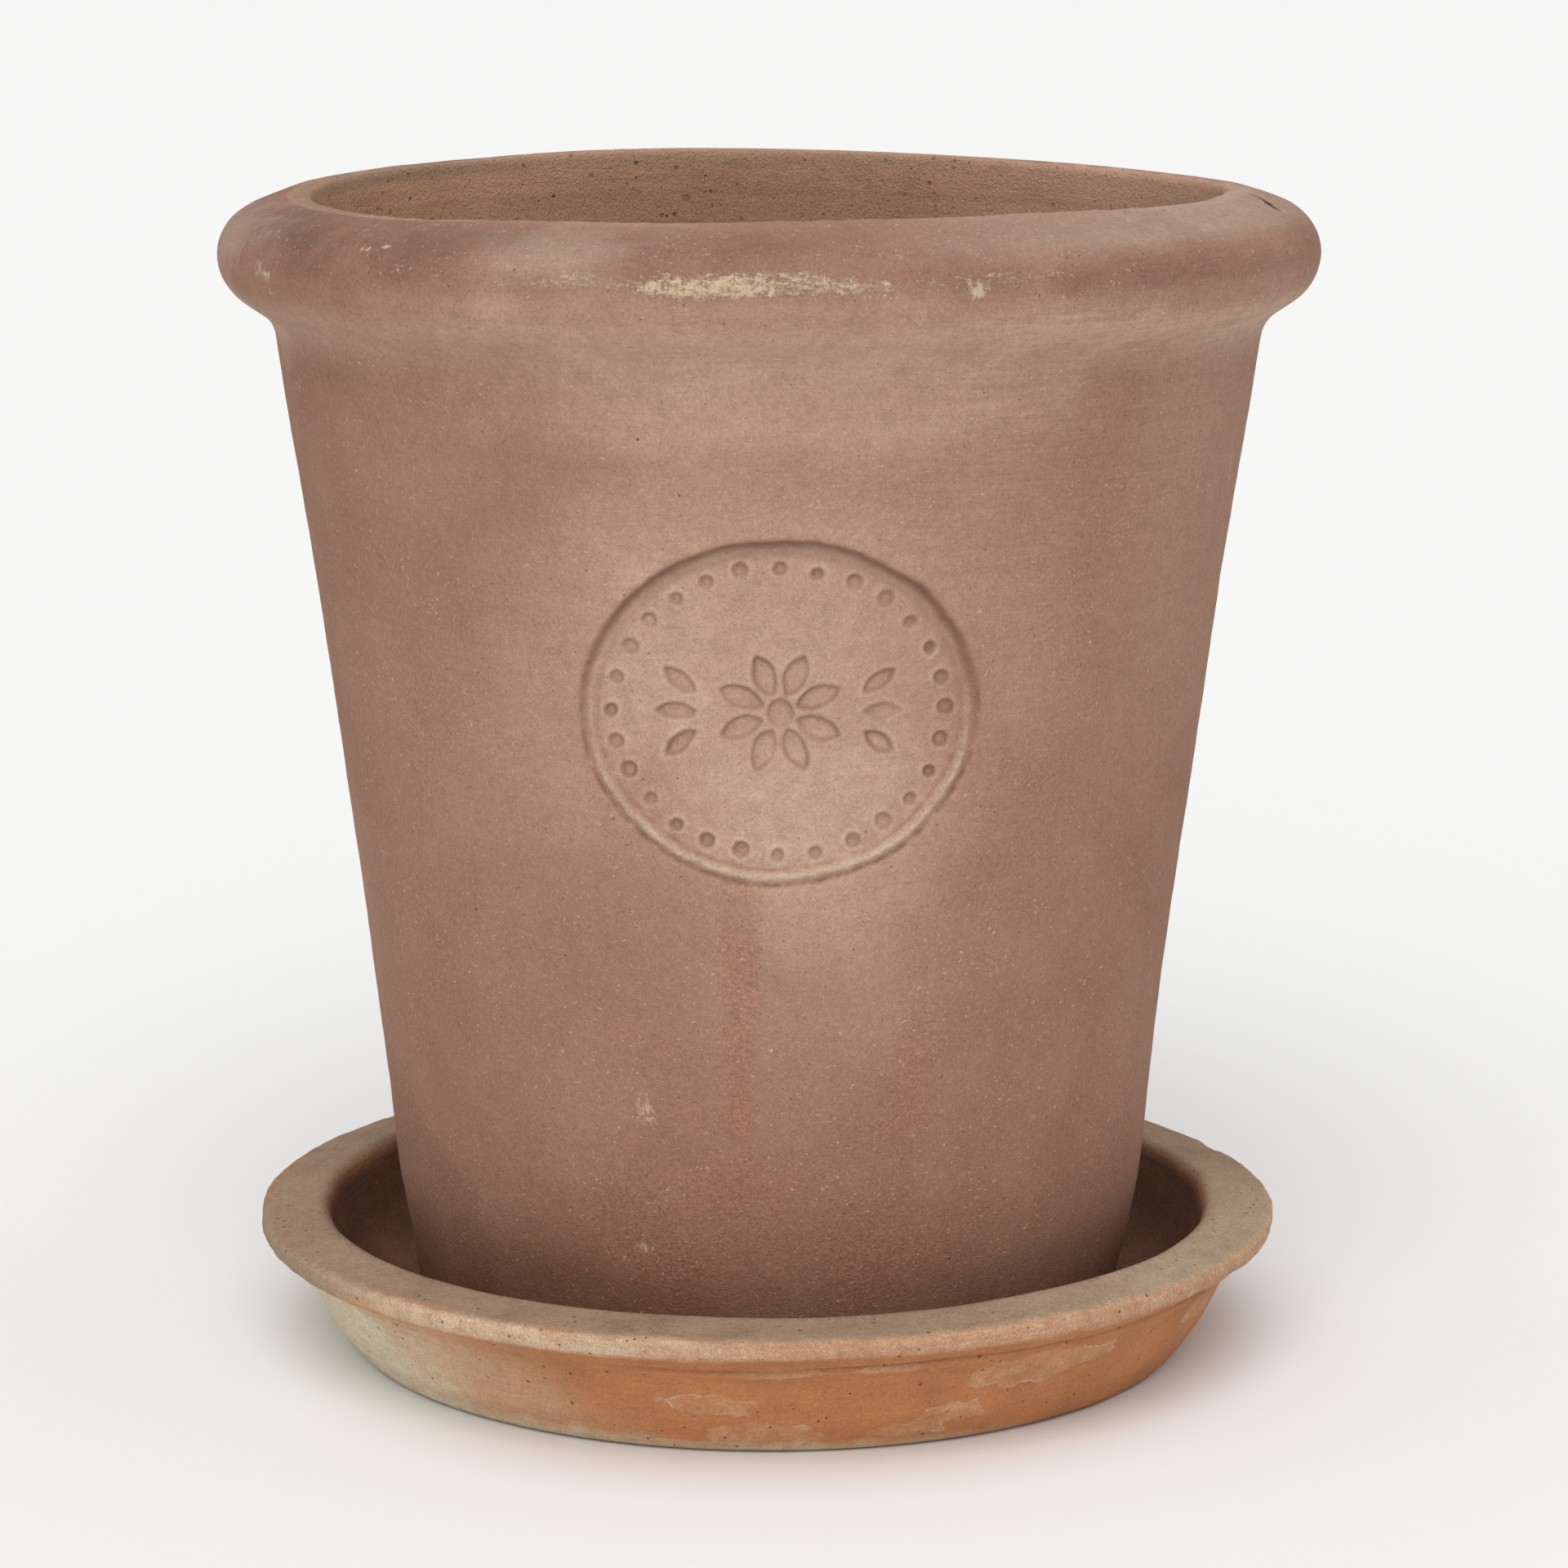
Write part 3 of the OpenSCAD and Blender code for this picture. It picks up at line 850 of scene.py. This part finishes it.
def pot_clay():
    clay = Clay("aged_terracotta")
    inner, band = clay.mask("inner"), clay.mask("band")
    bloom_and_cove_light, rust, smoke = clay.mask("bloom_and_cove_light"), clay.mask("rust"), clay.mask("smoke")
    high_up = clay.height.ramp(90.0, 190.0)

    clouds = clay.noise(16.0, 5.0, 0.55)
    mottle = clay.noise(4.0, 5.0, 0.75)
    grain = clay.noise(0.75, 3.0, 0.75)
    grit = clay.noise(0.34, 1.0)
    striped = clay.turn.ramp(8.0, 30.0) * clay.turn.ramp(85.0, 60.0) * clay.height.ramp(175.0, 200.0)
    plain = clay.mask("plain")
    brushed = clay.noise((16.0, 16.0, 0.6), 4.0, 0.7) * (0.25 + 0.55 * high_up + 1.5 * striped) * plain
    wiped = clay.noise((50.0, 50.0, 2.6), 3.0) * high_up * plain
    sandy_grain = clay.noise(2.0, 4.0, 0.85)
    streaked = clay.noise((1.6, 1.6, 30.0), 3.0, 0.6, upright=True)

    colour = clay.mix((clouds * 0.8 + mottle * 0.5 + 0.5).ramp(0.1, 0.9), CLAY, CLAY_DEEP)
    rusty = (rust * (0.85 + 0.6 * streaked + 0.5 * grain + 0.5 * clouds + 0.5 * mottle)).ramp(0.05, 1.05)
    colour = clay.mix(rusty, colour, RUST_RED)
    # The bloom here also carries the painted light under the roll
    bloomed_and_cove_lit = bloom_and_cove_light + bloom_and_cove_light * (0.30 * clouds + 0.40 * mottle + 0.20 * brushed) - 0.40 * rusty * bloom_and_cove_light
    colour = clay.mix(bloomed_and_cove_lit, colour, BLOOM_AND_LIGHT_PALE)
    smoked = smoke * (1.0 + 0.8 * clouds + 0.8 * mottle + 0.4 * wiped)
    colour = clay.mix(smoked, colour, SMOKE_MAUVE)
    dusted = clay.mask("dust") * (1.0 + 0.5 * clouds + 0.4 * mottle)
    colour = clay.mix(dusted, colour, DUST_GREY)

    # Painted shade at the foot, over a damp stain
    damp_and_shaded = clay.mask("damp_and_foot_shade") * (1.0 + 0.35 * clouds)
    colour = clay.mix(damp_and_shaded * 0.82, colour, DAMP_AND_SHADE_BROWN)
    granular = 0.36 + 0.55 * rusty
    tone = 1.0 + granular * grain + 0.26 * grit + 0.22 * sandy_grain + 0.07 * brushed + 0.05 * wiped
    tone = tone + 0.16 * mottle + 0.04 * streaked * (1.2 - high_up)
    colour = clay.shade(colour, tone)

    crowd = clay.noise(20.0, 2.0).ramp(-0.5, 0.5)
    fine_specks = clay.specks(1.2, 0.28, 0.8) * (0.35 + 0.65 * crowd)
    flecks = clay.noise((1.6, 1.6, 1.1), 3.0, 0.75).ramp(0.24, 0.42) * (0.20 + 0.85 * crowd)
    scratches = clay.noise((0.8, 0.8, 3.0), 3.0, 0.75, upright=True).ramp(0.34, 0.48) * (1.1 - crowd) * 0.8
    big_specks = clay.specks(5.2, 0.46, 0.45) * (0.15 + 0.5 * crowd) + flecks + scratches
    tiny_pits = clay.specks(1.9, 0.27, 0.65)
    pits = clay.specks(7.0, 0.36, 0.35)
    colour = clay.mix(fine_specks * (1.0 - 0.5 * damp_and_shaded), colour, BLOOM_AND_LIGHT_PALE)
    colour = clay.mix(big_specks * (0.95 - 0.4 * damp_and_shaded), colour, CHALK_AND_HIGHLIGHT)
    colour = clay.mix(pits * 0.8 + tiny_pits * 0.48, colour, PIT_DARK)

    flakes = clay.noise((2.4, 2.4, 0.7), 5.0, 0.8)
    hairs = clay.noise((0.5, 0.5, 5.0), 2.0, 0.6, upright=True)
    lime = clay.mask("lime")
    limed = (lime * 1.30 + 1.4 * flakes + 0.35 * hairs + 0.8 * grain - 0.54).ramp(0.0, 0.9)
    limed = limed * lime.ramp(0.04, 0.2)
    chalk = clay.mix(lime.ramp(0.55, 0.95) * (0.6 + 0.8 * mottle), CHALK_AND_HIGHLIGHT, CHALK_YELLOW)
    chalk = clay.shade(chalk, 0.96 + 0.35 * grain + 0.3 * flakes)
    colour = clay.mix(limed * (0.92 + 0.5 * mottle), colour, chalk)
    scuff = clay.mask("scuff")
    scuffed = scuff * 1.1 + 1.2 * clay.noise((0.9, 0.9, 1.8), 3.0, 0.8, upright=True)
    scuffed = (scuffed - 0.50).ramp(0.0, 0.6)
    colour = clay.mix(scuffed * scuff.ramp(0.05, 0.3) * 0.82, colour, CHALK_AND_HIGHLIGHT)

    hollow, edge = clay.mask("hollow"), clay.mask("edge")
    # Painted shade, with some dirt, in the seal's hollows and under its top edge
    colour = clay.mix(hollow * (0.66 + 0.5 * grain), colour, DAMP_AND_SHADE_BROWN)
    # Painted highlight on the seal's raised edges
    colour = clay.mix(edge * (0.58 + 0.7 * mottle + 0.9 * grain), colour, CHALK_AND_HIGHLIGHT)
    colour = clay.mix(clay.mask("crack").ramp(0.15, 0.5), colour, CRACK_DARK)

    # The inside: bare sandy clay, torn at the mouth and smoother below
    torn = clay.noise((3.0, 3.0, 0.8), 5.0, 0.75)
    sandy = clay.noise(0.6, 3.0, 0.7)
    clustered = clay.noise(9.0, 2.0).ramp(-0.3, 0.45)
    holes = clay.noise((1.1, 1.1, 0.8), 2.0, 0.6).ramp(0.22, 0.42) * (0.10 + 0.40 * clustered)
    holes = holes + clay.specks(2.2, 0.66, 0.65) * (0.25 + 0.70 * clustered)
    holes = holes + clay.specks(6.0, 1.1, 0.4) * (0.6 + sandy)
    sand = clay.mix((clouds * 0.4 + mottle * 0.4 + 0.5).ramp(0.0, 1.0), SAND_DARK, SAND_PALE)
    sand = clay.mix(0.45, sand, SAND)
    sand = clay.mix(clay.mask("border") * (0.70 + 0.8 * mottle + 0.5 * sandy), sand, SAND_BORDER)
    # Painted light and shade inside: darker towards the bottom and at the back, lighter at the sides
    deep_shade = 0.22 * clay.height.ramp(POT_TOP - 6, POT_TOP - 13)
    deep_shade = deep_shade + 0.10 * clay.height.ramp(POT_TOP - 20, POT_TOP - 60)
    greyed = clay.turn.ramp(60.0, 100.0) * clay.turn.ramp(168.0, 130.0)
    sand = clay.mix(greyed * (0.34 + 0.3 * mottle), sand, DUST_GREY)
    lit = 1.22 - 0.42 * clay.turn.math("ABSOLUTE").ramp(110.0, 175.0)
    lit = lit * (1.17 - deep_shade) * (1.0 - 0.42 * clay.mask("worn"))
    sand = clay.shade(sand, lit + 0.46 * sandy + 0.24 * torn + 0.2 * grit)
    sand = clay.mix(holes * 0.85, sand, HOLE_RED)
    colour = clay.mix(inner, colour, sand)

    roughness = 0.86 + 0.10 * mottle - 0.14 * smoked - 0.10 * damp_and_shaded + 0.06 * bloomed_and_cove_lit
    outside = 0.10 * grain + 0.05 * grit + 0.05 * brushed + 0.10 * mottle + 0.02 * streaked * (1.2 - high_up)
    outside = outside + 0.06 * sandy_grain
    outside = outside - 0.30 * pits - 0.10 * tiny_pits + 0.08 * big_specks + 0.12 * limed
    outside = outside + 0.08 * rusty * grain
    inside = 0.28 * sandy + (0.06 + 0.08 * band) * torn + 0.14 * sandy_grain - 0.30 * holes
    height = outside + inner * (inside - outside)
    return clay.finish(colour, roughness, height)


FLANGE, FLANGE_MAUVE = (0.358, 0.248, 0.164), (0.235, 0.140, 0.094)
LIP_CREAM, LIP_ORANGE = (0.570, 0.425, 0.300), (0.480, 0.265, 0.150)
ORANGE, ORANGE_DEEP = (0.530, 0.225, 0.088), (0.400, 0.165, 0.070)
MOSS_BEIGE = (0.650, 0.555, 0.400)
SLIP_PALE = (0.600, 0.360, 0.205)
# Dark brown for painted shade in the crease under the lip and in the bowl under the pot, where there is damp
# too
SHADE_AND_DAMP_DARK = (0.130, 0.058, 0.034)


def saucer_clay():
    clay = Clay("orange_terracotta")
    lip, top, pale = clay.mask("lip"), clay.mask("top"), clay.mask("pale")
    clouds = clay.noise(15.0, 5.0, 0.55)
    mottle = clay.noise(4.0, 5.0, 0.72)
    grain = clay.noise(0.75, 3.0, 0.75)
    grit = clay.noise(0.34, 1.0)
    ringed = clay.noise((30.0, 30.0, 0.7), 3.0, 0.6)

    wall = clay.mix((0.9 * clouds + 0.6 * mottle + 0.4).ramp(0.0, 1.0), ORANGE, ORANGE_DEEP)
    slip = clay.mask("slip") + 0.22 * mottle + 0.30 * clay.noise((9.0, 9.0, 3.0), 4.0, 0.65)
    slip_on = slip.ramp(0.40, 0.62)
    slip_edge = slip.ramp(0.40, 0.47) * slip.ramp(0.56, 0.48)
    broken = clay.noise(6.0, 3.0).ramp(-0.15, 0.3)
    wall = clay.mix(slip_on * (0.36 + 0.8 * mottle), wall, SLIP_PALE)
    wall = clay.mix(slip_edge * (0.2 + 0.8 * broken) * (0.90 + 1.1 * mottle + 0.6 * grain), wall, LIP_CREAM)
    wall = clay.mix(pale * (1.12 + 0.5 * clouds + 0.3 * mottle), wall, MOSS_BEIGE)
    rim = clay.mix((clouds * 0.8 + mottle * 0.7 + clay.mask("mauve")).ramp(0.1, 1.0), FLANGE, FLANGE_MAUVE)
    rim = clay.mix(clay.mask("chalky") * (1.0 + clouds), rim, MOSS_BEIGE)
    rim = clay.shade(rim, 0.96 + 0.06 * mottle + 0.2 * grain)
    colour = clay.mix(top, wall, rim)
    creamy = clay.mask("cream") + 0.22 * mottle + 0.2 * grain + 0.3 * grit
    creamy = creamy + 0.3 * clay.noise((14.0, 14.0, 0.9), 4.0)
    nose = clay.mix((creamy + 0.2).ramp(0.1, 1.0), LIP_ORANGE, LIP_CREAM)
    colour = clay.mix(lip * (0.9 + 0.5 * mottle), colour, nose)
    colour = clay.mix(clay.mask("line") * 0.8, colour, ORANGE_DEEP)
    # Painted shade: the crease under the lip and the bowl under the pot are darkened, the bowl over a damp
    # stain
    colour = clay.mix(clay.mask("crease") * (0.60 + 0.4 * mottle), colour, SHADE_AND_DAMP_DARK)
    bowl = clay.mask("bowl")
    colour = clay.mix(bowl * (0.95 + 0.2 * clouds), colour, SHADE_AND_DAMP_DARK)
    sandy_grain = clay.noise(2.0, 4.0, 0.85)
    tone = 1.0 + 0.32 * grain + 0.32 * grit + 0.24 * sandy_grain + 0.14 * ringed + 0.26 * mottle
    colour = clay.shade(colour, tone)

    pits = clay.specks(2.3, 0.38, 0.8)
    flecks = clay.specks(1.8, 0.26, 0.5) * 0.5
    colour = clay.mix(flecks, colour, LIP_CREAM)
    colour = clay.mix(pits * 0.8, colour, PIT_DARK)

    roughness = 0.86 + 0.1 * mottle - 0.12 * bowl
    height = (0.10 + 0.06 * lip) * grain + 0.05 * grit + 0.12 * mottle + 0.05 * ringed + 0.06 * sandy_grain
    height = height - 0.3 * pits + 0.08 * slip_on + 0.05 * slip_edge
    return clay.finish(colour, roughness, height)


pot.data.materials.append(pot_clay())
dish.data.materials.append(saucer_clay())


# ---------------------------------------------------------------- stage, lights and camera

FLOOR_HALF = 20                                 # half the side of the floor, in metres


def add_floor():
    mesh = bpy.data.meshes.new("floor")
    corners = [(x * FLOOR_HALF, y * FLOOR_HALF, 0) for x, y in ((-1, -1), (1, -1), (1, 1), (-1, 1))]
    mesh.from_pydata(corners, [], [(0, 1, 2, 3)])
    floor = bpy.data.objects.new("floor", mesh)
    bpy.context.scene.collection.objects.link(floor)
    material = bpy.data.materials.new("pale_floor")
    material.use_nodes = True
    shader = material.node_tree.nodes["Principled BSDF"]
    shader.inputs["Base Color"].default_value = (0.88, 0.88, 0.875, 1)
    shader.inputs["Roughness"].default_value = 0.9
    shader.inputs["Specular IOR Level"].default_value = 0.1
    floor.data.materials.append(material)


def add_light(name, azimuth, elevation, spread, strength):
    """A large soft light far away, with its angles in degrees; azimuth 0 is the front and 90 is +X.

    A strength of 1 lights a white face to white.
    """
    data = bpy.data.lights.new(name, "SUN")
    data.energy = strength * math.pi
    data.angle = math.radians(spread)
    light = bpy.data.objects.new(name, data)
    bpy.context.scene.collection.objects.link(light)
    light.rotation_euler = (math.radians(90 - elevation), 0, math.radians(azimuth))


add_floor()
add_light("front_light", -6, 42, 50, 0.50)
add_light("top_light", 10, 80, 90, 0.32)

world = bpy.data.worlds.new("studio")
world.use_nodes = True
world.node_tree.nodes["Background"].inputs["Color"].default_value = (1, 1, 1, 1)
world.node_tree.nodes["Background"].inputs["Strength"].default_value = 0.42
bpy.context.scene.world = world

# The camera stands in front of the pot and looks down at it; the distances are in metres
CAMERA_BACK, CAMERA_UP = 1.1453, 0.3461
CAMERA_PITCH = math.radians(10.93)
CAMERA_YAW = math.radians(0.173)
CAMERA_ROLL = math.radians(0.168)
CAMERA_LENS, CAMERA_SENSOR = 120.33, 36         # in millimetres

camera_data = bpy.data.cameras.new("camera")
camera_data.sensor_width = CAMERA_SENSOR
camera_data.lens = CAMERA_LENS
camera = bpy.data.objects.new("camera", camera_data)
bpy.context.scene.collection.objects.link(camera)
camera.matrix_world = (
    Matrix.Translation((0, -CAMERA_BACK, CAMERA_UP))
    @ Matrix.Rotation(math.pi / 2 - CAMERA_PITCH, 4, "X")
    @ Matrix.Rotation(-CAMERA_YAW, 4, "Y")
    @ Matrix.Rotation(CAMERA_ROLL, 4, "Z")
)
bpy.context.scene.camera = camera
bpy.context.scene.view_settings.view_transform = "Standard"
